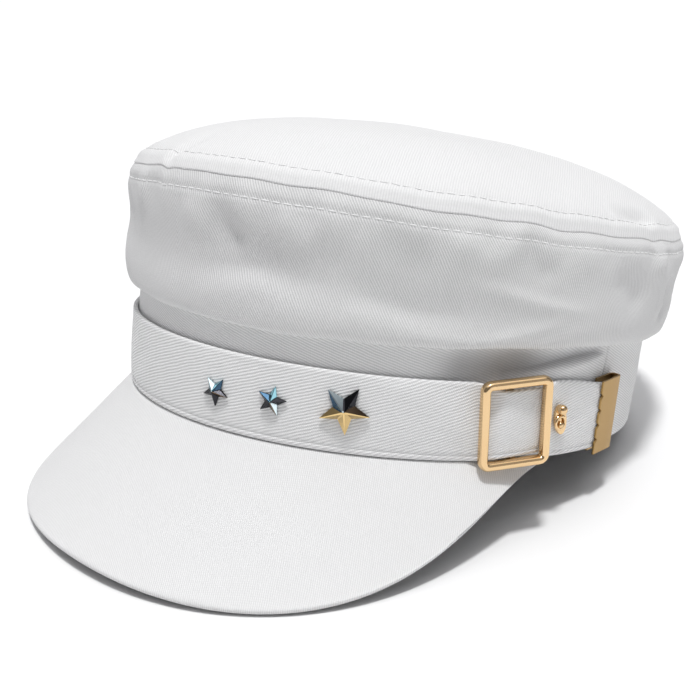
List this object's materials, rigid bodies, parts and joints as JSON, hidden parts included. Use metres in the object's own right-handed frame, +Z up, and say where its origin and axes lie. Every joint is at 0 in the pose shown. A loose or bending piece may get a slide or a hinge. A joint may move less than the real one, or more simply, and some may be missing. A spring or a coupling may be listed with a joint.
{
  "type": "baker boy cap",
  "caption": "Flat-crowned cloth cap with a head band, a buckled strap set with star studs, and a stiff peak.",
  "frame": {"origin": "on the surface the cap lies on, under the middle of its footprint", "axes": "+Z up, -Y to the front of the cap, +X to the wearer's left"},
  "size_m": [0.187, 0.27, 0.1278],
  "materials": {
    "crown_twill": "white cotton twill, steep rib",
    "band_twill": "white cotton twill",
    "strap_twill": "white cotton twill, shallow coarse rib",
    "peak_twill": "white cotton twill pressed over a stiff board",
    "gold_metal": "polished light gold plate",
    "clip_metal": "satin gold plate",
    "dark_metal": "polished dark plate with a blue cast",
    "star_metal": "polished gold plate"
  },
  "bodies": {
    "root": {"crown_tip": "crown_twill", "crown_side": "crown_twill", "head_band": "band_twill", "strap": "strap_twill", "peak": "peak_twill", "buckle": "gold_metal", "strap_stud": "gold_metal", "end_clip": "clip_metal", "star_small_1": "dark_metal", "star_small_2": "dark_metal", "star_large": "star_metal"}
  },
  "joints": []
}
